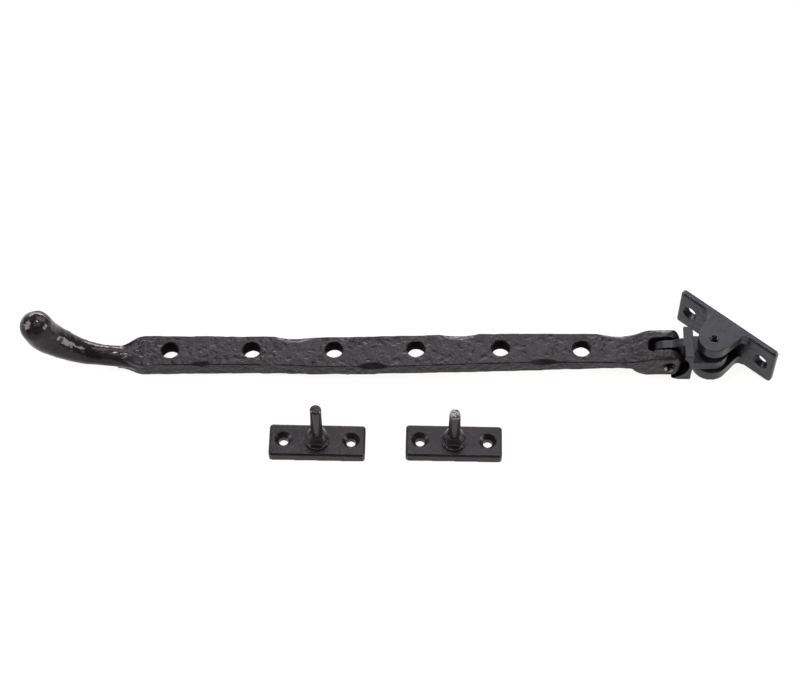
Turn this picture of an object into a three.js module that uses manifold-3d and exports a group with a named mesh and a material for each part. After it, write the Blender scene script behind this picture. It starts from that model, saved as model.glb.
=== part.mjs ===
// Casement window stay with its two sill pegs, laid out as a set on a flat surface.
// Millimetres, +Z up, +X along the arm from the handle to the bracket. The origin lies on the
// surface, under the middle of the set.
import * as THREE from "three";
import { mergeVertices } from "three/addons/utils/BufferGeometryUtils.js";
import Module from "manifold-3d";

const wasm = await Module();
wasm.setup();

// ---------- driving dimensions ----------

const GAP = 0.3; // running clearance round a rivet, and between two faces that only touch
const REACH = 40; // how far a cutter runs past the piece it cuts
const ROUND_STEPS = 32; // facets round a rivet, a bore or a peg

// Arm. Its frame has its origin on the fork pivot, the bar runs to -X and is flat in X and Y.
// The holes, drilled by eye: place along the arm and off its middle line.
const HOLES = [
  { x: -39.9, y: 0.35 },
  { x: -76.8, y: 0.55 },
  { x: -115.6, y: 0.7 },
  { x: -153.3, y: 0.7 },
  { x: -191.1, y: 0.8 },
  { x: -228.6, y: 0.85 },
];
const HOLE_DIAMETER = 8;
// The forged bar: place along the arm, sideways bow of its middle, width and thickness.
const BAR = [
  { x: -240.8, y: 0.9, width: 16.3, thickness: 8.9 },
  { x: -189.4, y: 0.45, width: 15.7, thickness: 8.3 },
  { x: -156.4, y: -0.4, width: 16.4, thickness: 7.5 },
  { x: -122.4, y: -0.1, width: 17, thickness: 7.1 },
  { x: -78.4, y: 0.5, width: 16.4, thickness: 7.9 },
  { x: -37.4, y: 0.7, width: 16, thickness: 6.4 },
  { x: -22.4, y: 0.4, width: 15.4, thickness: 5.4 },
];
const NECK = 253.4; // fork pivot to the narrow neck of the handle
const NECK_WIDTH = 7.6;
const FORK_WIDTH = 16.6;
const FORK_ROUND = 4.2; // plan radius of the outer corners of the fork
const CHEEK_REACH = 6.1; // fork pivot to the end of the cheeks
const CHEEK_RISE = 7.6; // fork pivot to the top of the cheeks
const CHEEK_DROP = 8.4; // fork pivot to the bottom of the cheeks
const FORK_SECTION = { width: 18.6, round: 4.5 }; // rounds the long corners of the cheeks
const SLOT_WIDTH = 6.4;
const SLOT_DEPTH = 9.4; // fork pivot to the bottom of the slot
const SLOT_ROUND = 1.6; // plan radius of the inner corners of the slot
const ARM_RIVET_DIAMETER = 4.5;
const RIVET_SINK = 0.5; // how far a rivet end lies below the face round it
const ARM_PITCH = THREE.MathUtils.degToRad(1.36); // the arm rests on the handle end of its bar

// Handle: centreline stations in the arm frame, and the width and height of the oval there.
const HANDLE = [
  { x: -239.4, z: 0, width: 15.2, height: 8 },
  { x: -247.4, z: 0.4, width: 12, height: 8.8 },
  { x: -255.4, z: 1.2, width: 10.3, height: 10.2 },
  { x: -260.9, z: 2.4, width: 10.4, height: 10.4 },
  { x: -269.1, z: 5.7, width: 12.1, height: 12.1 },
  { x: -278.9, z: 13.3, width: 14.5, height: 14.5 },
  { x: -284.5, z: 20, width: 15.9, height: 15.9 },
  { x: -286.8, z: 26.4, width: 15.5, height: 15.5 },
];
const BULB_END = 6.9; // length of the round end past the last station
const HANDLE_STEPS = 26; // rings along the handle
const HANDLE_SIDES = 28; // facets round the handle
const BULB_STEPS = 7; // rings on the round end

// Hammer dents on the upper edges of the bar: place along the arm, side, length, depth, and the
// tilt of the hammer from upright towards the dented side.
const DENTS = [
  { x: -214.4, side: -1, length: 11, depth: 1.3, tilt: 45 },
  { x: -170.9, side: 1, length: 19, depth: 1.5, tilt: 26 },
  { x: -134.9, side: -1, length: 15, depth: 1.7, tilt: 45 },
  { x: -95.9, side: 1, length: 18, depth: 1.4, tilt: 26 },
  { x: -56.9, side: -1, length: 14, depth: 1.5, tilt: 45 },
  { x: -23.4, side: 1, length: 14, depth: 1, tilt: 30 },
];
const DENT_STEPS = 36;

// Knuckle link. Its frame has its origin on the fork pivot.
const PIVOT_HEIGHT = 10.5; // fork pivot above the surface
const PIN_OFFSET = 20; // fork pivot to the bracket pin
const TONGUE_THICKNESS = 4.3;
const TONGUE_END = -6.6; // fork pivot to the end of the upright tongue in the fork
const TONGUE_RISE = 7; // fork pivot to the top of the upright tongue over the rivet
const FLANGE_FRONT = 6.4; // fork pivot to the face towards the arm
const FLANGE_LIP = 1.6; // fork pivot to the end of the lip under the cheeks
const LIP_TAPER = { length: 3.4, rise: 1.2 }; // how the underside of the lip rises to its end
const FLANGE_BACK = 10.8;
const FLANGE_WIDTH = 16.8;
const FLANGE_HEIGHT = 19.2;
const FLANGE_RISE = -0.8; // middle of the flange above the fork pivot
const FLANGE_HOLLOW = 8.9; // radius of the hollow that clears the cheeks
const FLAT_TONGUE_RADIUS = 7.4;
const FLAT_TONGUE_THICKNESS = 5.9;
const FLAT_TONGUE_RISE = -0.5; // middle of the flat tongue above the fork pivot

// Mounting bracket. Its frame has its origin on the bracket pin at half height, +X to the sash.
const BRACKET_LENGTH = 53.4;
const BRACKET_HEIGHT = 22.8;
const BRACKET_THICKNESS = 2.8;
const BRACKET_BACK = 12.5; // bracket pin to the face on the sash
const BRACKET_YAW = THREE.MathUtils.degToRad(49.4);
const BRACKET_SCREWS = 40;
const EAR_THICKNESS = 6;
const UPPER_EAR_RADIUS = 7.5;
const LOWER_EAR_RADIUS = 8.6;
const EAR_ROOT = 17.6; // width of an ear before its fillets to the plate
const EAR_FILLET = 3.2;
const BRACKET_RIVET_DIAMETER = 4.4;

// Peg plates and pegs. A plate's frame has its origin in the middle of its underside.
const PLATE_LENGTH = 43.4;
const PLATE_WIDTH = 16.2;
const PLATE_THICKNESS = 5;
const PLATE_SCREWS = 30.4;
const PEG_BASE_DIAMETER = 5.6;
const PEG_TIP_DIAMETER = 5.2;
const PEG_HEIGHT = 26.5; // above its plate
const WORN_PEG_HEIGHT = 24.2;
const PEG_TIP_BEVEL = 0.6;
const SPIGOT_DIAMETER = 4.4; // the part of the peg inside its plate
const COLLAR_DIAMETER = 11.4; // thin round seat under the shoulder
const COLLAR_HEIGHT = 0.8;
const HEX_CORNERS = 10.8; // across the corners of the shoulder
const HEX_HEIGHT = 4.6;
const PEG_PLACES = {
  left: { x: -160.1, y: -44, yaw: THREE.MathUtils.degToRad(-1.1), height: PEG_HEIGHT },
  right: { x: -98.6, y: -44.2, yaw: THREE.MathUtils.degToRad(-1.1), height: WORN_PEG_HEIGHT },
};

// Screw plates of the bracket and the pegs.
const EDGE_BEVEL = 0.8;
const CORNER_RADIUS = 0.8;
const SCREW_HOLE = 4.2;
const COUNTERSINK = 8;
const COUNTERSINK_DEPTH = 2;

// ---------- solids ----------

// A closed three.js geometry as a manifold-3d solid.
function solid(geometry) {
  const bare = geometry.clone();
  bare.deleteAttribute("normal");
  bare.deleteAttribute("uv");
  const merged = mergeVertices(bare, 1e-4);
  return new wasm.Manifold(
    new wasm.Mesh({
      numProp: 3,
      vertProperties: merged.attributes.position.array,
      triVerts: Uint32Array.from(merged.index.array),
    }),
  );
}

// A manifold-3d solid as a three.js geometry.
function geometryOf(body) {
  const { vertProperties, triVerts } = body.getMesh();
  const geometry = new THREE.BufferGeometry();
  geometry.setAttribute("position", new THREE.BufferAttribute(Float32Array.from(vertProperties), 3));
  geometry.setIndex(new THREE.BufferAttribute(Uint32Array.from(triVerts), 1));
  geometry.computeVertexNormals();
  return geometry;
}

// A plan outline in X and Y, extruded from z = low to z = high.
function upright(shape, low, high) {
  const options = { depth: high - low, bevelEnabled: false, curveSegments: 12 };
  return new THREE.ExtrudeGeometry(shape, options).translate(0, 0, low);
}

// A side outline in X and Z, extruded along Y to both sides of the middle plane.
function sideways(shape, width) {
  const options = { depth: width, bevelEnabled: false, curveSegments: 12 };
  return new THREE.ExtrudeGeometry(shape, options).rotateX(Math.PI / 2).translate(0, width / 2, 0);
}

// A round bar or bore along Z, from z = low to z = high.
function roundAlongZ(diameter, low, high) {
  return new THREE.CylinderGeometry(diameter / 2, diameter / 2, high - low, ROUND_STEPS)
    .rotateX(Math.PI / 2)
    .translate(0, 0, (low + high) / 2);
}

// A round bar or bore along Y, centred.
function roundAlongY(diameter, length) {
  return new THREE.CylinderGeometry(diameter / 2, diameter / 2, length, ROUND_STEPS);
}

// A turned shape: [radius, z] pairs from the axis round and back to the axis, lowest first.
function turned(profile) {
  const points = profile.map(([radius, z]) => new THREE.Vector2(radius, z));
  return new THREE.LatheGeometry(points, ROUND_STEPS).rotateX(Math.PI / 2);
}

// A rectangle with round corners, centred.
function roundedRectangle(length, width, radius) {
  const [x, y] = [length / 2, width / 2];
  const shape = new THREE.Shape();
  shape.absarc(x - radius, y - radius, radius, 0, Math.PI / 2);
  shape.absarc(radius - x, y - radius, radius, Math.PI / 2, Math.PI);
  shape.absarc(radius - x, radius - y, radius, Math.PI, 1.5 * Math.PI);
  shape.absarc(x - radius, radius - y, radius, 1.5 * Math.PI, 2 * Math.PI);
  return shape;
}

// A screw plate on z = 0: bevelled round its upper face, with two countersunk holes along X.
function screwPlate(length, width, thickness, holeSpacing) {
  const inset = roundedRectangle(length - 2 * EDGE_BEVEL, width - 2 * EDGE_BEVEL, CORNER_RADIUS);
  const bevelled = new THREE.ExtrudeGeometry(inset, {
    depth: thickness - EDGE_BEVEL,
    bevelThickness: EDGE_BEVEL,
    bevelSize: EDGE_BEVEL,
    bevelSegments: 1,
    curveSegments: 3,
  });
  const belowSurface = new THREE.BoxGeometry(2 * length, 2 * width, REACH).translate(0, 0, -REACH / 2);
  const countersunk = turned([
    [0, -1],
    [SCREW_HOLE / 2, -1],
    [SCREW_HOLE / 2, thickness - COUNTERSINK_DEPTH],
    [COUNTERSINK / 2, thickness],
    [COUNTERSINK / 2, thickness + 1],
    [0, thickness + 1],
  ]);
  let plate = solid(bevelled).subtract(solid(belowSurface));
  for (const side of [-1, 1]) {
    plate = plate.subtract(solid(countersunk.clone().translate((side * holeSpacing) / 2, 0, 0)));
  }
  return plate;
}

// The angle where a straight side from (x, y) touches a round end about (0, 0).
function tangentAngle(radius, x, y) {
  return Math.atan2(y, x) + Math.acos(Math.min(1, radius / Math.hypot(x, y)));
}

// ---------- arm ----------

// The bar and fork seen from above.
function armPlan() {
  const [neck, fork] = [NECK_WIDTH / 2, FORK_WIDTH / 2];
  const [first, last] = [BAR[0], BAR.at(-1)];
  const near = BAR.map(({ x, y, width }) => new THREE.Vector2(x, y - width / 2));
  const far = BAR.map(({ x, y, width }) => new THREE.Vector2(x, y + width / 2)).reverse();
  const shape = new THREE.Shape();
  shape.moveTo(-NECK - 3, -neck + 1);
  shape.lineTo(-NECK, -neck);
  shape.bezierCurveTo(-NECK + 6, -neck, first.x - 4.5, near[0].y, first.x, near[0].y);
  shape.splineThru(near.slice(1));
  shape.bezierCurveTo(-17, -last.width / 2, -14, -fork, -8, -fork);
  shape.absarc(CHEEK_REACH - FORK_ROUND, FORK_ROUND - fork, FORK_ROUND, 1.5 * Math.PI, 2 * Math.PI);
  shape.absarc(CHEEK_REACH - FORK_ROUND, fork - FORK_ROUND, FORK_ROUND, 0, Math.PI / 2);
  shape.lineTo(-8, fork);
  shape.bezierCurveTo(-14, fork, -17, last.width / 2, last.x, last.width / 2);
  shape.splineThru(far.slice(1));
  shape.bezierCurveTo(first.x - 4.5, far.at(-1).y, -NECK + 6, neck, -NECK, neck);
  shape.lineTo(-NECK - 3, neck - 1);
  return shape;
}

// The bar and fork seen from the side: the cheeks swell above and below the thin end of the bar.
function armSide() {
  const below = BAR.map(({ x, thickness }) => new THREE.Vector2(x, -thickness / 2));
  const above = BAR.map(({ x, thickness }) => new THREE.Vector2(x, thickness / 2)).reverse();
  const shape = new THREE.Shape();
  shape.moveTo(-NECK - 3, below[0].y);
  shape.lineTo(below[0].x, below[0].y);
  shape.splineThru(below.slice(1));
  shape.lineTo(-17, below.at(-1).y);
  shape.bezierCurveTo(-14, 1.5 - CHEEK_DROP, -8, -CHEEK_DROP, -1, -CHEEK_DROP);
  shape.bezierCurveTo(3, -CHEEK_DROP, CHEEK_REACH, -4.8, CHEEK_REACH, -0.4);
  shape.bezierCurveTo(CHEEK_REACH, 4, 3, CHEEK_RISE, -1.4, CHEEK_RISE);
  shape.bezierCurveTo(-9, CHEEK_RISE, -13, above[0].y + 0.6, above[0].x, above[0].y);
  shape.splineThru(above.slice(1));
  shape.lineTo(-NECK - 3, above.at(-1).y);
  return shape;
}

// A straight turned bar of unit radius along Y, bent along the centreline and swelled to the ovals.
function handle() {
  const centreline = new THREE.CatmullRomCurve3(HANDLE.map(({ x, z }) => new THREE.Vector3(x, 0, z)));
  const length = centreline.getLength();
  const widths = new THREE.SplineCurve(HANDLE.map(({ width, height }) => new THREE.Vector2(width, height)));
  const profile = [new THREE.Vector2(0, 0)];
  for (let i = 0; i <= HANDLE_STEPS; i++) profile.push(new THREE.Vector2(1, (i / HANDLE_STEPS) * length));
  for (let i = 1; i <= BULB_STEPS; i++) {
    const angle = (i / BULB_STEPS) * (Math.PI / 2);
    const radius = i === BULB_STEPS ? 0 : Math.cos(angle);
    profile.push(new THREE.Vector2(radius, length + BULB_END * Math.sin(angle)));
  }
  const geometry = new THREE.LatheGeometry(profile, HANDLE_SIDES);
  const vertices = geometry.attributes.position;
  const sideAxis = new THREE.Vector3(0, 1, 0);
  for (let i = 0; i < vertices.count; i++) {
    const along = Math.min(vertices.getY(i), length) / length;
    const beyond = Math.max(vertices.getY(i) - length, 0);
    const parameter = centreline.getUtoTmapping(along);
    const tangent = centreline.getTangent(parameter);
    const oval = widths.getPoint(parameter);
    const upAxis = new THREE.Vector3().crossVectors(sideAxis, tangent);
    const point = centreline
      .getPoint(parameter)
      .addScaledVector(tangent, beyond)
      .addScaledVector(sideAxis, (vertices.getX(i) * oval.x) / 2)
      .addScaledVector(upAxis, (vertices.getZ(i) * oval.y) / 2);
    vertices.setXYZ(i, point.x, point.y, point.z);
  }
  return geometry;
}

// The fork seen along the arm: a bar with well rounded long corners.
function forkSection() {
  const { width, round } = FORK_SECTION;
  const outline = roundedRectangle(width, CHEEK_RISE + CHEEK_DROP, round);
  return new THREE.ExtrudeGeometry(outline, { depth: 2 * NECK, bevelEnabled: false, curveSegments: 8 })
    .translate(0, (CHEEK_RISE - CHEEK_DROP) / 2, -NECK)
    .rotateX(Math.PI / 2)
    .rotateZ(Math.PI / 2);
}

// The hammer face that leaves one dent in an upper edge of the bar.
function dentCutter({ x, side, length, depth, tilt }) {
  const radius = length ** 2 / (8 * depth) + depth / 2;
  const next = BAR.findIndex((station) => station.x >= x);
  const [from, to] = [BAR[next - 1], BAR[next]];
  const share = (x - from.x) / (to.x - from.x);
  const at = (key) => THREE.MathUtils.lerp(from[key], to[key], share);
  const edgeY = side * at("y") + at("width") / 2;
  const edgeZ = at("thickness") / 2;
  const lift = radius - depth;
  const lean = THREE.MathUtils.degToRad(tilt);
  return new THREE.SphereGeometry(radius, DENT_STEPS, DENT_STEPS)
    .rotateX(Math.PI / 2)
    .translate(x, side * (edgeY + lift * Math.sin(lean)), edgeZ + lift * Math.cos(lean));
}

function stayArm() {
  const slot = new THREE.Shape();
  const [half, round] = [SLOT_WIDTH / 2, SLOT_ROUND];
  slot.moveTo(REACH, -half);
  slot.lineTo(REACH, half);
  slot.absarc(round - SLOT_DEPTH, half - round, round, Math.PI / 2, Math.PI);
  slot.absarc(round - SLOT_DEPTH, round - half, round, Math.PI, 1.5 * Math.PI);
  let arm = solid(upright(armPlan(), -REACH, REACH))
    .intersect(solid(sideways(armSide(), REACH)))
    .intersect(solid(forkSection()))
    .add(solid(handle()))
    .subtract(solid(upright(slot, -REACH, REACH)))
    .subtract(solid(roundAlongY(ARM_RIVET_DIAMETER + 2 * GAP, REACH)));
  for (const { x, y } of HOLES) {
    arm = arm.subtract(solid(roundAlongZ(HOLE_DIAMETER, -REACH, REACH).translate(x, y, 0)));
  }
  for (const dent of DENTS) arm = arm.subtract(solid(dentCutter(dent)));
  return geometryOf(arm);
}

// ---------- link ----------

// The flange seen from the side; the hollow for the cheeks leaves its lip under them.
function flangeSide(low, high) {
  const shape = new THREE.Shape();
  shape.moveTo(FLANGE_LIP, low + LIP_TAPER.rise);
  shape.lineTo(FLANGE_LIP + LIP_TAPER.length, low);
  shape.lineTo(FLANGE_BACK, low);
  shape.lineTo(FLANGE_BACK, high);
  shape.lineTo(FLANGE_FRONT, high);
  shape.lineTo(FLANGE_FRONT, 0);
  shape.lineTo(FLANGE_LIP, 0);
  return shape;
}

// The upright tongue seen from the side: its top falls from the top of the flange to a blunt end.
function uprightTongueSide(root, high) {
  const shape = new THREE.Shape();
  shape.moveTo(root, -TONGUE_RISE);
  shape.lineTo(root, high);
  shape.lineTo(FLANGE_FRONT, high);
  shape.bezierCurveTo(4, high - 0.4, 2, TONGUE_RISE, 0, TONGUE_RISE);
  shape.bezierCurveTo(-3, TONGUE_RISE, TONGUE_END, 6.4, TONGUE_END, 3.4);
  shape.lineTo(TONGUE_END, -2.4);
  shape.bezierCurveTo(TONGUE_END, -5.6, -3.8, -TONGUE_RISE, 0, -TONGUE_RISE);
  return shape;
}

// The flat tongue round the bracket pin, with straight sides to x = -root.
function flatTonguePlan(root) {
  const shape = new THREE.Shape();
  shape.moveTo(-root, FLAT_TONGUE_RADIUS);
  shape.lineTo(-root, -FLAT_TONGUE_RADIUS);
  shape.absarc(0, 0, FLAT_TONGUE_RADIUS, -Math.PI / 2, Math.PI / 2);
  return shape;
}

function knuckleLink() {
  const [bottom, top] = [-1, 1].map((s) => FLANGE_RISE + (s * FLANGE_HEIGHT) / 2);
  const flangePlan = roundedRectangle(FLANGE_BACK - FLANGE_LIP, FLANGE_WIDTH, CORNER_RADIUS);
  const flangeBlock = upright(flangePlan, bottom, top).translate((FLANGE_LIP + FLANGE_BACK) / 2, 0, 0);
  const middle = (FLANGE_HOLLOW + FLANGE_BACK) / 2;
  const uprightTongue = sideways(uprightTongueSide(middle, top), TONGUE_THICKNESS);
  const [low, high] = [-1, 1].map((s) => FLAT_TONGUE_RISE + (s * FLAT_TONGUE_THICKNESS) / 2);
  const flatTongue = upright(flatTonguePlan(PIN_OFFSET - middle), low, high).translate(PIN_OFFSET, 0, 0);
  const pinBore = roundAlongZ(BRACKET_RIVET_DIAMETER + 2 * GAP, -REACH, REACH).translate(PIN_OFFSET, 0, 0);
  return geometryOf(
    solid(flangeBlock)
      .intersect(solid(sideways(flangeSide(bottom, top), REACH)))
      .subtract(solid(roundAlongY(2 * FLANGE_HOLLOW, REACH)))
      .add(solid(uprightTongue))
      .add(solid(flatTongue))
      .subtract(solid(roundAlongY(ARM_RIVET_DIAMETER + 2 * GAP, REACH)))
      .subtract(solid(pinBore)),
  );
}

// ---------- bracket ----------

// An ear seen from above: a round end about the pin, and sides that sweep out into the plate.
function earPlan(radius) {
  const face = BRACKET_BACK - BRACKET_THICKNESS;
  const root = face + BRACKET_THICKNESS / 2;
  const half = EAR_ROOT / 2;
  const flare = half + EAR_FILLET;
  const start = face - EAR_FILLET;
  const tangent = tangentAngle(radius, start, half);
  const shape = new THREE.Shape();
  shape.moveTo(root, -flare);
  shape.lineTo(root, flare);
  shape.lineTo(face, flare);
  shape.quadraticCurveTo(face, half, start, half);
  shape.absarc(0, 0, radius, tangent, 2 * Math.PI - tangent);
  shape.lineTo(start, -half);
  shape.quadraticCurveTo(face, -half, face, -flare);
  return shape;
}

function mountingBracket() {
  const plate = geometryOf(screwPlate(BRACKET_LENGTH, BRACKET_HEIGHT, BRACKET_THICKNESS, BRACKET_SCREWS))
    .rotateY(-Math.PI / 2)
    .rotateX(Math.PI / 2)
    .translate(BRACKET_BACK, 0, 0);
  const top = BRACKET_HEIGHT / 2;
  return geometryOf(
    solid(plate)
      .add(solid(upright(earPlan(UPPER_EAR_RADIUS), top - EAR_THICKNESS, top)))
      .add(solid(upright(earPlan(LOWER_EAR_RADIUS), -top, EAR_THICKNESS - top)))
      .subtract(solid(roundAlongZ(BRACKET_RIVET_DIAMETER + 2 * GAP, -REACH, REACH))),
  );
}

// ---------- pegs ----------

function pegPlate() {
  const bore = roundAlongZ(SPIGOT_DIAMETER + 2 * GAP, -REACH, REACH);
  const plate = screwPlate(PLATE_LENGTH, PLATE_WIDTH, PLATE_THICKNESS, PLATE_SCREWS);
  return geometryOf(plate.subtract(solid(bore)));
}

// A peg: spigot in the plate, round seat, hexagonal shoulder with a sloping top, tapered pin.
function peg(height) {
  const [seat, tip] = [PLATE_THICKNESS + GAP, PLATE_THICKNESS + height];
  const shoulder = seat + COLLAR_HEIGHT + HEX_HEIGHT;
  const turning = turned([
    [0, GAP],
    [SPIGOT_DIAMETER / 2, GAP],
    [SPIGOT_DIAMETER / 2, seat],
    [COLLAR_DIAMETER / 2, seat],
    [COLLAR_DIAMETER / 2, seat + COLLAR_HEIGHT],
    [PEG_BASE_DIAMETER / 2, seat + COLLAR_HEIGHT],
    [PEG_TIP_DIAMETER / 2, tip - PEG_TIP_BEVEL],
    [PEG_TIP_DIAMETER / 2 - PEG_TIP_BEVEL, tip],
    [0, tip],
  ]);
  const hexagon = new THREE.CylinderGeometry(HEX_CORNERS / 2, HEX_CORNERS / 2, HEX_HEIGHT, 6)
    .rotateX(Math.PI / 2)
    .rotateZ(Math.PI / 6)
    .translate(0, 0, shoulder - HEX_HEIGHT / 2);
  const slope = turned([
    [0, seat],
    [COLLAR_DIAMETER / 2, seat],
    [COLLAR_DIAMETER / 2, shoulder - 3.2],
    [PEG_BASE_DIAMETER / 2 + 0.7, shoulder],
    [0, shoulder],
  ]);
  return geometryOf(solid(turning).add(solid(hexagon).intersect(solid(slope))));
}

// ---------- the set ----------

const paint = (name, colour, roughness, metalness) =>
  new THREE.MeshStandardMaterial({ name, color: colour, roughness, metalness });
const blackIron = paint("black_iron", 0x2b2a2c, 0.5, 0.2);
const blackSteel = paint("black_steel", 0x242326, 0.45, 0.3);
const wornSteel = paint("worn_steel", 0x3a393b, 0.55, 0.4);

function piece(name, geometry, material) {
  const mesh = new THREE.Mesh(geometry, material);
  mesh.name = name;
  return mesh;
}

const armGroup = new THREE.Group();
armGroup.position.z = PIVOT_HEIGHT;
armGroup.rotation.y = -ARM_PITCH;
const armRivet = roundAlongY(ARM_RIVET_DIAMETER, FORK_WIDTH - 2 * RIVET_SINK);
armGroup.add(
  piece("stay_arm", stayArm(), blackIron),
  piece("arm_rivet", armRivet, blackSteel),
);

const linkGroup = new THREE.Group();
linkGroup.position.z = PIVOT_HEIGHT;
linkGroup.add(piece("knuckle_link", knuckleLink(), blackIron));

const bracketGroup = new THREE.Group();
bracketGroup.position.set(PIN_OFFSET, 0, BRACKET_HEIGHT / 2);
bracketGroup.rotation.z = BRACKET_YAW;
const rivetEnd = BRACKET_HEIGHT / 2 - RIVET_SINK;
bracketGroup.add(
  piece("mounting_bracket", mountingBracket(), blackIron),
  piece("bracket_rivet", roundAlongZ(BRACKET_RIVET_DIAMETER, -rivetEnd, rivetEnd), blackSteel),
);

const set = new THREE.Group();
set.add(armGroup, linkGroup, bracketGroup);
for (const [side, { x, y, yaw, height }] of Object.entries(PEG_PLACES)) {
  const group = new THREE.Group();
  group.position.set(x, y, 0);
  group.rotation.z = yaw;
  group.add(
    piece(`peg_plate_${side}`, pegPlate(), blackIron),
    piece(`peg_${side}`, peg(height), side === "right" ? wornSteel : blackSteel),
  );
  set.add(group);
}

// The origin: under the middle of the set's box, level with its lowest point.
set.updateMatrixWorld(true);
const box = new THREE.Box3().setFromObject(set, true);
const middle = box.getCenter(new THREE.Vector3());
set.position.set(-middle.x, -middle.y, -box.min.z);

const assembly = new THREE.Group();
assembly.add(set);
export default assembly;
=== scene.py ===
"""Looks of a casement window stay and its two sill pegs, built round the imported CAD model."""

import math

import bpy
import numpy as np
from mathutils import Matrix, Vector, noise


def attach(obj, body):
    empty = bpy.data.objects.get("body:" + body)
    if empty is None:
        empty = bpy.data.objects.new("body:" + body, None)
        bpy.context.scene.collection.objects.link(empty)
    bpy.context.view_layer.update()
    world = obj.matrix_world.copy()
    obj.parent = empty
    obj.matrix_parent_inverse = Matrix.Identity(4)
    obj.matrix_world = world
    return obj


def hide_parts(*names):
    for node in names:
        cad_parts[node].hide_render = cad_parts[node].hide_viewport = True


MM = 0.001

# Camera: it looks at a point on the surface behind the arm, from in front and above.
TARGET = Vector((0.27, 26.81, 0.03)) * MM
ELEVATION = math.radians(57)
ROLL = math.radians(0.2)
DISTANCE = 1.035
LENS_MM, SENSOR_MM = 100, 36

# Surroundings: a floor that glows a little, in a dim white world.
FLOOR_SIZE = 6.0
FLOOR_GREY, FLOOR_GLOW, WORLD_GLOW = 0.12, 0.93, 0.06
WHITE = (1, 1, 1)
COOL = (0.96, 0.95, 1.0)
WARM = (1, 0.985, 0.975)

# Lights: name, azimuth and elevation in degrees, distance and size in metres, power in watts, colour.
LIGHTS = (
    ("back_softbox", 160, 52, 1.2, (1.0, 0.5), 5.6, COOL),
    ("overhead", 192, 80, 1.2, (0.2, 0.16), 6, WHITE),
    ("ceiling", 0, 85, 1.25, (1.3, 0.45), 3, WHITE),
    ("back_strip", 184, 13, 1.2, (1.6, 0.34), 20, COOL),
    ("left_box", 272, 24, 1.0, (0.4, 0.7), 9, COOL),
    ("right_box", 82, 18, 1.0, (0.5, 0.5), 9, WHITE),
)

# Finish: the colour of worn metal, also used as painted highlight on rivet burrs and peg rims, and
# what is left of the roughness and the grain where it shines.
WORN_AND_HIGHLIGHT = (0.22, 0.21, 0.21)
GLOSSY_ROUGHNESS, GLOSSY_GRAIN = 0.36, 0.12
# The two grains of the finish: the length of their waves and the height of their bumps, in metres.
COARSE_GRAIN, COARSE_BUMP = 0.0032, 0.001
FINE_GRAIN, FINE_BUMP = 0.0012, 0.00024

# How sharply an edge bends where its shine starts and where it is full; on the pegs' rims that shine
# is pale worn metal and painted highlight.
EDGE_BEND = (0.05, 0.14)
RIM_BEND = (0.06, 0.16)

# The arm: its fork's pivot, and where its handle's neck and its bar start and end along X.
FORK_PIVOT = Vector((123.27, 12.91, 10.53)) * MM
NECK_X = (FORK_PIVOT.x - 0.2534, FORK_PIVOT.x - 0.2404)
BAR_X = (FORK_PIVOT.x - 0.238, FORK_PIVOT.x - 0.012)

# In millimetres from the fork's pivot: the holes' middles along X and Y, how far their walls and
# the slot's walls reach, and the hollow in the knuckle link that clears the fork's cheeks. These
# walls and the hollow get painted shade.
HOLES = ((-39.9, 0.35), (-76.8, 0.55), (-115.6, 0.7), (-153.3, 0.7), (-191.1, 0.8), (-228.6, 0.85))
HOLE_REACH = 4.5
SLOT_HALF_WIDTH, SLOT_REACH = 3.8, 10.1
HOLLOW_RADIUS, HOLLOW_BAND, HOLLOW_INNER_EDGE = 8.9, 0.35, 2.5

# Forged unevenness of the arm: the length of each kind of wave, and its depth, in millimetres.
HAMMERED_SIZE, HAMMERED_DEPTH = 7, 0.32
PIT_SIZE, PIT_DEPTH = 2.8, 0.3
LUMP_SIZE, LUMP_DEPTH = 9, 0.4
RIPPLE_SIZE, RIPPLE_DEPTH, RIPPLE_DEPTH_ON_TOP = 2.8, 0.1, 0.22

# The pegs: the height of the shoulder's top in metres, and where the tip's chips start and are
# full, in millimetres under the tip.
SHOULDER_TOP = 0.0115
TIP_START, TIP_FULL = 3.6, 1.2

# The rivets' ends, in millimetres: how far they rise above the CAD's, spread sideways and dish in
# the middle, how deep the ends go, where the burr starts and is full, and how deep the painted shade
# in the dish goes.
RIVET_RISE, RIVET_SPREAD, RIVET_DISH = 0.52, 0.6, 1.5
RIVET_END_START, RIVET_END_FULL = 1.1, 0.4
BURR_START, BURR_FULL = 0.6, 1.6
PAINTED_SHADE_DEPTH = 2
# The radius of the painted shade in a rivet's dish, as a share of the dish's width.
PAINTED_SHADE_RADIUS = 0.42


# ---------- mesh ----------


def remeshed(node, voxel, passes):
    """A new object with a CAD node's shape in even small faces, its edges eased by smoothing."""
    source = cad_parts[node]
    piece = bpy.data.objects.new("forged_" + node, source.data.copy())
    bpy.context.scene.collection.objects.link(piece)
    even = piece.modifiers.new("even", "REMESH")
    even.mode = "VOXEL"
    even.voxel_size = voxel * MM
    eased = piece.modifiers.new("eased", "SMOOTH")
    eased.factor = 0.5
    eased.iterations = passes
    graph = bpy.context.evaluated_depsgraph_get()
    shape = bpy.data.meshes.new_from_object(piece.evaluated_get(graph))
    piece.modifiers.clear()
    piece.data = shape
    shape.name = piece.name
    return piece


def coordinates(mesh):
    """The mesh's vertex positions and normals as two arrays."""
    count = len(mesh.vertices)
    places = np.empty(count * 3)
    normals = np.empty(count * 3)
    mesh.vertices.foreach_get("co", places)
    mesh.vertices.foreach_get("normal", normals)
    return places.reshape(-1, 3), normals.reshape(-1, 3)


def moved_to(piece, places):
    """Moves the piece's vertices to these places."""
    piece.data.vertices.foreach_set("co", places.ravel())
    piece.data.update()


def sunk(piece, depths):
    """Moves each vertex inwards along its normal by its depth in metres."""
    places, normals = coordinates(piece.data)
    moved_to(piece, places - normals * depths[:, None])


def smoothstep(low, high, values):
    """0 below low, 1 above high, and a smooth rise between them."""
    share = np.clip((values - low) / (high - low), 0, 1)
    return share * share * (3 - 2 * share)


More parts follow.
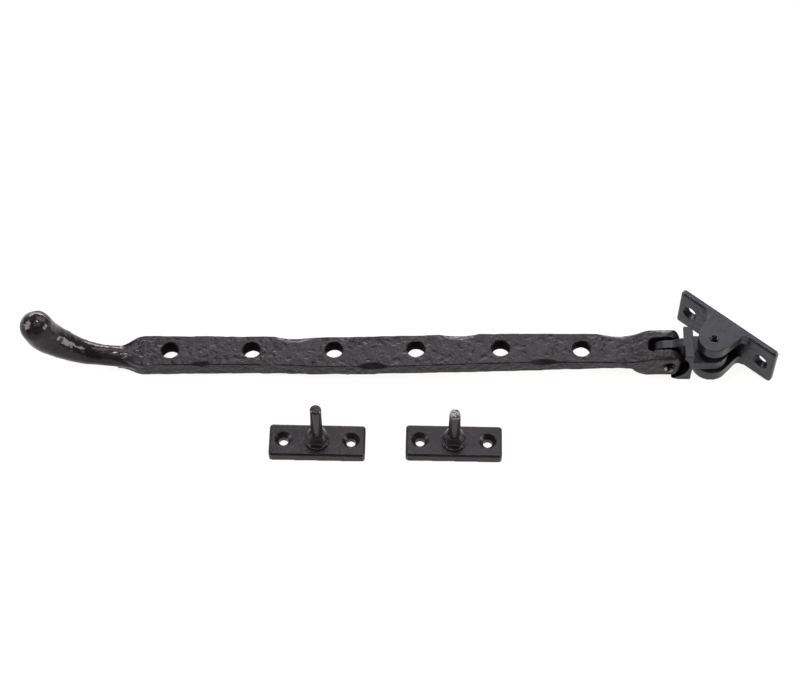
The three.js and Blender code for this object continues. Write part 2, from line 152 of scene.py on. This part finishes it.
def relief(places, size, seed, octaves=2):
    """Smooth noise from 0 to 1 at each place, with waves about size millimetres long."""
    offset = Vector((seed * 7.1, seed * 3.7, seed * 5.3))
    spots = (Vector(place) / (size * MM) + offset for place in places)
    values = [noise.fractal(spot, 1.0, 2.0, octaves) for spot in spots]
    return np.clip(0.5 + 0.5 * np.array(values), 0, 1)


def edges_of(piece, low, high):
    """0 to 1 at each vertex, by how sharply the surface bends outwards there."""
    mesh = piece.data
    places, normals = coordinates(mesh)
    pairs = np.empty(len(mesh.edges) * 2, dtype=np.int32)
    mesh.edges.foreach_get("vertices", pairs)
    first, second = pairs.reshape(-1, 2).T
    total = np.zeros_like(places)
    count = np.zeros(len(places))
    for one, other in ((first, second), (second, first)):
        np.add.at(total, one, places[other])
        np.add.at(count, one, 1)
    inwards = ((places - total / count[:, None]) * normals).sum(1)
    step = np.linalg.norm(places[first] - places[second], axis=1).mean()
    return smoothstep(low, high, inwards / step)


# ---------- materials ----------


class Graph:
    """A short way to write a node material: new nodes by type, and links by socket."""

    # The mix node has sockets of one name for each type of data: these are its colour ones.
    MIX_FIRST, MIX_SECOND, MIX_RESULT = 6, 7, 2

    def __init__(self, name):
        self.material = bpy.data.materials.new(name)
        self.material.use_nodes = True
        self.tree = self.material.node_tree
        self.shader = self.tree.nodes["Principled BSDF"]

    def add(self, kind, **settings):
        node = self.tree.nodes.new("ShaderNode" + kind)
        for key, value in settings.items():
            setattr(node, key, value)
        return node

    def link(self, output, socket):
        self.tree.links.new(output, socket)

    def noise(self, size, detail=3.0):
        """Noise on the object's own coordinates, with waves about as long as size in metres."""
        where = self.add("TexCoord")
        pattern = self.add("TexNoise")
        pattern.inputs["Scale"].default_value = 1 / size
        pattern.inputs["Detail"].default_value = detail
        pattern.inputs["Roughness"].default_value = 0.55
        self.link(where.outputs["Object"], pattern.inputs["Vector"])
        return pattern.outputs["Fac"]

    def remap(self, value, low, high, to_low, to_high):
        """The value, clamped to low and high, on a scale from to_low to to_high."""
        node = self.add("MapRange")
        limits = {"From Min": low, "From Max": high, "To Min": to_low, "To Max": to_high}
        for socket, number in limits.items():
            node.inputs[socket].default_value = number
        self.link(value, node.inputs["Value"])
        return node.outputs["Result"]

    def mix(self, factor, first, second):
        """A colour between first and second; each is a colour or a socket."""
        node = self.add("Mix", data_type="RGBA")
        self.link(factor, node.inputs["Factor"])
        for index, colour in ((self.MIX_FIRST, first), (self.MIX_SECOND, second)):
            if isinstance(colour, tuple):
                node.inputs[index].default_value = (*colour, 1)
            else:
                self.link(colour, node.inputs[index])
        return node.outputs[self.MIX_RESULT]

    def product(self, first, second):
        """One socket's value times another's."""
        node = self.add("Math", operation="MULTIPLY")
        self.link(first, node.inputs[0])
        self.link(second, node.inputs[1])
        return node.outputs[0]

    def attribute(self, name):
        """A number that mask() stored on the mesh."""
        return self.add("Attribute", attribute_name=name).outputs["Fac"]

    def bumps(self, layers):
        """Stacked bumps: each layer is (height socket, distance in metres, strength socket)."""
        normal = None
        for height, distance, strength in layers:
            bump = self.add("Bump")
            bump.inputs["Distance"].default_value = distance
            self.link(strength, bump.inputs["Strength"])
            self.link(height, bump.inputs["Height"])
            if normal:
                self.link(normal, bump.inputs["Normal"])
            normal = bump.outputs["Normal"]
        self.link(normal, self.shader.inputs["Normal"])


def black_iron(name, dark, light, roughness, grain, shine, tint=(1.0, 0.93, 0.98)):
    """Satin black over iron: mottled tone, uneven sheen, a fine forged grain, and pale flecks of worn
    metal that are partly painted highlight.
    """
    graph = Graph(name)
    mottle = graph.remap(graph.noise(0.006, 4), 0.35, 0.65, 0, 1)
    tone = graph.mix(mottle, dark, light)
    tone = graph.mix(graph.attribute("wear_and_highlight"), tone, WORN_AND_HIGHLIGHT)
    graph.link(tone, graph.shader.inputs["Base Color"])
    sheen = graph.noise(0.0022, 4)
    rough = graph.remap(sheen, 0.3, 0.7, *roughness)
    gloss = graph.attribute("gloss")
    rough = graph.product(rough, graph.remap(gloss, 0, 1, 1, GLOSSY_ROUGHNESS))
    graph.link(rough, graph.shader.inputs["Roughness"])
    strength = graph.remap(gloss, 0, 1, grain, grain * GLOSSY_GRAIN)
    coarse = (graph.noise(COARSE_GRAIN, 3), COARSE_BUMP, strength)
    fine = (graph.noise(FINE_GRAIN, 4), FINE_BUMP, strength)
    graph.bumps((coarse, fine))
    graph.shader.inputs["Specular IOR Level"].default_value = shine
    graph.shader.inputs["Specular Tint"].default_value = (*tint, 1)
    return graph.material


def painted_bore_shade(name):
    """Painted shade: rough near-black for the walls of bores and slots, the link's hollow and the
    rivets' dishes, where shade falls.
    """
    graph = Graph(name)
    tone = graph.mix(graph.noise(0.002, 3), (0.002, 0.002, 0.002), (0.008, 0.007, 0.007))
    graph.link(tone, graph.shader.inputs["Base Color"])
    rough = graph.remap(graph.noise(0.001), 0.3, 0.7, 0.6, 0.85)
    graph.link(rough, graph.shader.inputs["Roughness"])
    graph.shader.inputs["Specular IOR Level"].default_value = 0.02
    return graph.material


def pale_floor():
    """A matt floor that glows nearly white, so that shadows on it stay faint."""
    graph = Graph("pale_floor")
    graph.shader.inputs["Base Color"].default_value = (FLOOR_GREY, FLOOR_GREY, FLOOR_GREY, 1)
    graph.shader.inputs["Roughness"].default_value = 0.9
    graph.shader.inputs["Specular IOR Level"].default_value = 0.0
    graph.shader.inputs["Emission Color"].default_value = (*WARM, 1)
    graph.shader.inputs["Emission Strength"].default_value = FLOOR_GLOW
    return graph.material


# ---------- pieces ----------


def mask(piece, name, values):
    """Stores a number from 0 to 1 for each vertex, for the material to read."""
    layer = piece.data.attributes.new(name, "FLOAT", "POINT")
    layer.data.foreach_set("value", np.zeros(len(piece.data.vertices)) + values)


def finished(piece, body, node, material, gloss, wear_and_highlight=0.0):
    mask(piece, "gloss", gloss)
    mask(piece, "wear_and_highlight", wear_and_highlight)
    piece.data.materials.clear()
    piece.data.materials.append(material)
    piece.data.shade_smooth()
    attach(piece, body)
    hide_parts(node)


def faces_in(piece, chosen, material):
    """Gives the faces that chosen picks, by their centres and normals, another material."""
    faces = piece.data.polygons
    centres = np.empty(len(faces) * 3)
    faces.foreach_get("center", centres)
    normals = np.empty(len(faces) * 3)
    faces.foreach_get("normal", normals)
    picked = chosen(centres.reshape(-1, 3), normals.reshape(-1, 3))
    indices = np.empty(len(faces), dtype=np.int32)
    faces.foreach_get("material_index", indices)
    indices[picked] = len(piece.data.materials)
    piece.data.materials.append(material)
    faces.foreach_set("material_index", indices)
    piece.data.update()


def from_fork_pivot(points):
    """The points in millimetres from the fork's pivot."""
    return (points - np.array(FORK_PIVOT)) / MM


def in_arm_openings(centres, normals):
    """True for faces on the walls of the arm's holes and of its fork slot."""
    local = from_fork_pivot(centres)
    upright = np.abs(normals[:, 2]) < 0.7
    inside = (np.abs(local[:, 1]) < SLOT_HALF_WIDTH) & (local[:, 0] > -SLOT_REACH)
    for x, y in HOLES:
        inside |= np.hypot(local[:, 0] - x, local[:, 1] - y) < HOLE_REACH
    return upright & inside


def in_arm_crease(centres, normals):
    """True for faces of the bar's front upper edge and of the dents in it, which get painted shade.
    """
    along = (centres[:, 0] > BAR_X[0]) & (centres[:, 0] < BAR_X[1])
    return along & (normals[:, 1] < -0.26) & (normals[:, 2] > 0.24)


def make_arm(material, bore_shade_black, crease_shade):
    """The arm: its bar is hammered and pitted on top, and its handle is lumpy and glossy."""
    arm = remeshed("stay_arm", voxel=0.42, passes=5)
    places, normals = coordinates(arm.data)
    handle = 1 - smoothstep(*NECK_X, places[:, 0])
    edges = edges_of(arm, *EDGE_BEND)
    far_side = smoothstep(0.15, 0.35, normals[:, 1])
    top_half = smoothstep(-0.1, 0.5, normals[:, 2])
    top_face = smoothstep(0.5, 0.9, normals[:, 2])
    pits = smoothstep(0.56, 0.8, relief(places, PIT_SIZE, 2, 3)) * top_face
    hammered = HAMMERED_DEPTH * relief(places, HAMMERED_SIZE, 1)
    hammered += PIT_DEPTH * (1 - 0.7 * edges) * pits
    lumpy = LUMP_DEPTH * relief(places, LUMP_SIZE, 3)
    lumpy += (RIPPLE_DEPTH + RIPPLE_DEPTH_ON_TOP * top_half) * relief(places, RIPPLE_SIZE, 4)
    sunk(arm, MM * ((1 - handle) * hammered + handle * lumpy))
    gloss = np.maximum.reduce((handle, edges, far_side))
    finished(arm, "arm", "stay_arm", material, gloss)
    # Painted shade on the bar's front upper edge and its near dents.
    faces_in(arm, in_arm_crease, crease_shade)
    # Painted shade on the walls of the arm's holes and fork slot.
    faces_in(arm, in_arm_openings, bore_shade_black)


def make_forged(node, body, material, voxel, passes, depth, seed):
    """A plainer iron piece, with forged unevenness to a depth in millimetres."""
    piece = remeshed(node, voxel, passes)
    places, _ = coordinates(piece.data)
    edges = edges_of(piece, *EDGE_BEND)
    uneven = 0.7 * relief(places, 5, seed) + 0.3 * relief(places, 1.6, seed + 1)
    sunk(piece, depth * MM * uneven)
    finished(piece, body, node, material, edges)
    return piece


def in_link_hollow(centres, normals):
    """True for faces of the knuckle link's hollow that clears the fork's cheeks."""
    local = from_fork_pivot(centres)
    round_pivot = np.abs(np.hypot(local[:, 0], local[:, 2]) - HOLLOW_RADIUS) < HOLLOW_BAND
    beside_tongue = np.abs(local[:, 1]) > HOLLOW_INNER_EDGE
    return round_pivot & beside_tongue & (normals[:, 0] < 0)


def make_peg(side, material, tip_depth, tip_wear, seed):
    """A turned peg; its tip is left clean or chipped and rubbed bare, and its shoulder's rims get
    pale flecks of worn metal and painted highlight.
    """
    node = "peg_" + side
    peg = remeshed(node, voxel=0.13, passes=3)
    places, _ = coordinates(peg.data)
    top = places[:, 2].max()
    tip = smoothstep(top - TIP_START * MM, top - TIP_FULL * MM, places[:, 2])
    chips = relief(places, 1.3, seed, 3)
    rim = edges_of(peg, *RIM_BEND) * (places[:, 2] < SHOULDER_TOP)
    sunk(peg, MM * (0.04 * relief(places, 3, seed + 1) + tip_depth * tip * chips))
    # Pale flecks: worn metal on the chipped tip; worn metal and painted highlight on the shoulder's
    # rims.
    wear_and_highlight = np.maximum(tip_wear * tip * smoothstep(0.35, 0.6, chips), 0.3 * rim * chips)
    finished(peg, side + "_peg", node, material, 0.5, wear_and_highlight)


def make_rivet(node, body, material, bore_shade_black, axis, dish, shift, burr):
    """A rivet along an axis, spread to fill its bores, with a dish in both its ends, dark in the
    middle with painted shade.

    Axis is 0, 1 or 2. The dish has a width, and is shifted off the middle along the two other
    axes. A burr of some height stands under it, its crumbs flecked pale as worn metal and as painted
    highlight. All three are in millimetres.
    """
    piece = remeshed(node, voxel=0.11, passes=1)
    places, _ = coordinates(piece.data)
    low, high = places.min(0), places.max(0)
    middle = (low + high) / 2
    half = (high[axis] - low[axis]) / 2
    across = [i for i in range(3) if i != axis]

    def off_dish(points):
        return np.hypot(*(points[:, i] - middle[i] - move * MM for i, move in zip(across, shift)))

    def in_dish(centres, _):
        deep = np.abs(centres[:, axis] - middle[axis]) > half - PAINTED_SHADE_DEPTH * MM
        return (off_dish(centres) < PAINTED_SHADE_RADIUS * dish * MM) & deep

    offsets = places - middle
    radius = np.hypot(offsets[:, across[0]], offsets[:, across[1]])
    end_start, end_full = half - RIVET_END_START * MM, half - RIVET_END_FULL * MM
    ends = smoothstep(end_start, end_full, np.abs(offsets[:, axis]))
    hollow = np.clip(1 - (off_dish(places) / (dish / 2 * MM)) ** 2, 0, 1)
    crumbs = relief(places, 1.1, 6, 3)
    below = smoothstep(BURR_START * MM, BURR_FULL * MM, -offsets[:, across[1]])
    under = below * ends * (burr > 0)
    push = (ends * (RIVET_RISE - RIVET_DISH * hollow) + burr * under * crumbs) * MM
    places[:, axis] += np.sign(offsets[:, axis]) * push
    spread = 1 + ends * RIVET_SPREAD * MM / np.maximum(radius, 1 * MM)
    for i in across:
        places[:, i] = middle[i] + offsets[:, i] * spread
    moved_to(piece, places)
    # Pale flecks on the burr's crumbs: worn metal and painted highlight.
    wear_and_highlight = under * smoothstep(0.5, 0.62, crumbs)
    finished(piece, body, node, material, 0.4, wear_and_highlight)
    # Painted shade in the middle of each end's dish.
    faces_in(piece, in_dish, bore_shade_black)


# ---------- surroundings ----------


def make_floor():
    """A square floor under the set."""
    half = FLOOR_SIZE / 2
    corners = [(-half, -half, 0), (half, -half, 0), (half, half, 0), (-half, half, 0)]
    mesh = bpy.data.meshes.new("floor")
    mesh.from_pydata(corners, [], [(0, 1, 2, 3)])
    floor = bpy.data.objects.new("floor", mesh)
    bpy.context.scene.collection.objects.link(floor)
    mesh.materials.append(pale_floor())


def area_light(name, azimuth, elevation, distance, size, power, colour):
    """A soft rectangular light that faces the middle of the set. Azimuth 0 is in front, 90 right."""
    light = bpy.data.lights.new(name, "AREA")
    light.shape = "RECTANGLE"
    light.size, light.size_y = size
    light.energy = power
    light.color = colour
    lamp = bpy.data.objects.new(name, light)
    bpy.context.scene.collection.objects.link(lamp)
    a, e = math.radians(azimuth), math.radians(elevation)
    back = Vector((math.sin(a) * math.cos(e), -math.cos(a) * math.cos(e), math.sin(e)))
    lamp.location = back * distance
    lamp.rotation_mode = "QUATERNION"
    lamp.rotation_quaternion = back.to_track_quat("Z", "Y")


def make_lights():
    """The lights, and the dim white world round them."""
    for light in LIGHTS:
        area_light(*light)
    world = bpy.data.worlds.new("studio")
    world.use_nodes = True
    background = world.node_tree.nodes["Background"]
    background.inputs["Color"].default_value = (*WHITE, 1)
    background.inputs["Strength"].default_value = WORLD_GLOW
    bpy.context.scene.world = world


def make_camera():
    """The camera: in front and above, rolled a little, aimed at TARGET."""
    forward = Vector((0, math.cos(ELEVATION), -math.sin(ELEVATION)))
    right = Vector((1, 0, 0))
    up = right.cross(forward)
    rolled_right = right * math.cos(ROLL) + up * math.sin(ROLL)
    rolled_up = up * math.cos(ROLL) - right * math.sin(ROLL)
    data = bpy.data.cameras.new("camera")
    data.lens, data.sensor_width = LENS_MM, SENSOR_MM
    camera = bpy.data.objects.new("camera", data)
    bpy.context.scene.collection.objects.link(camera)
    turn = Matrix((rolled_right, rolled_up, -forward)).transposed().to_quaternion()
    camera.matrix_world = Matrix.LocRotScale(TARGET - forward * DISTANCE, turn, None)
    bpy.context.scene.camera = camera


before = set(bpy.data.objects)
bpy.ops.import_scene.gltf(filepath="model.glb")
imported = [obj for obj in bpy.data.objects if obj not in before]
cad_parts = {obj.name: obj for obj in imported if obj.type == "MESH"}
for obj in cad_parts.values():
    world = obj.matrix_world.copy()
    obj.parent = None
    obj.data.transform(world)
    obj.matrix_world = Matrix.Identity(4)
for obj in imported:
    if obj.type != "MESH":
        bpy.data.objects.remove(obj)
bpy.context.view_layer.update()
make_camera()
make_floor()
make_lights()

iron = black_iron(
    "forged_iron",
    dark=(0.008, 0.007, 0.0075),
    light=(0.018, 0.0155, 0.0165),
    roughness=(0.28, 0.42),
    grain=0.92,
    shine=0.225,
)
smooth_iron = black_iron(
    "smooth_iron",
    dark=(0.009, 0.009, 0.0095),
    light=(0.016, 0.0155, 0.018),
    roughness=(0.26, 0.38),
    grain=0.3,
    shine=0.3,
    tint=(0.94, 0.92, 1.0),
)
plate_iron = black_iron(
    "plate_iron",
    dark=(0.009, 0.008, 0.0085),
    light=(0.017, 0.015, 0.016),
    roughness=(0.26, 0.38),
    grain=0.3,
    shine=0.2,
)
steel = black_iron(
    "turned_steel",
    dark=(0.01, 0.009, 0.0095),
    light=(0.018, 0.016, 0.017),
    roughness=(0.22, 0.34),
    grain=0.2,
    shine=0.26,
)
# Painted shade: a darker, less shiny iron for the bar's front upper edge and its near dents.
crease_shade = black_iron(
    "painted_crease_shade",
    dark=(0.004, 0.0033, 0.0033),
    light=(0.018, 0.014, 0.0145),
    roughness=(0.32, 0.5),
    grain=0.8,
    shine=0.11,
)
# Painted shade for the walls of holes and slot, the link's hollow and the rivets' dishes.
bore_shade_black = painted_bore_shade("painted_bore_shade")

make_arm(iron, bore_shade_black, crease_shade)
link = make_forged("knuckle_link", "knuckle", smooth_iron, voxel=0.22, passes=4, depth=0.16, seed=11)
# Painted shade in the link's hollow beside the fork's cheeks.
faces_in(link, in_link_hollow, bore_shade_black)
make_forged("mounting_bracket", "bracket", smooth_iron, voxel=0.25, passes=2, depth=0.08, seed=21)
make_forged("peg_plate_left", "left_peg", plate_iron, voxel=0.2, passes=2, depth=0.08, seed=31)
make_forged("peg_plate_right", "right_peg", plate_iron, voxel=0.2, passes=2, depth=0.08, seed=41)
make_peg("left", steel, tip_depth=0.05, tip_wear=0.0, seed=51)
make_peg("right", steel, tip_depth=0.5, tip_wear=1.0, seed=61)
make_rivet("arm_rivet", "arm", steel, bore_shade_black, axis=1, dish=4.2, shift=(0, 0.5), burr=1.1)
make_rivet("bracket_rivet", "bracket", steel, bore_shade_black, axis=2, dish=3.0, shift=(-0.3, -0.8), burr=0)
bpy.context.scene.view_settings.view_transform = "Standard"

bpy.context.view_layer.update()
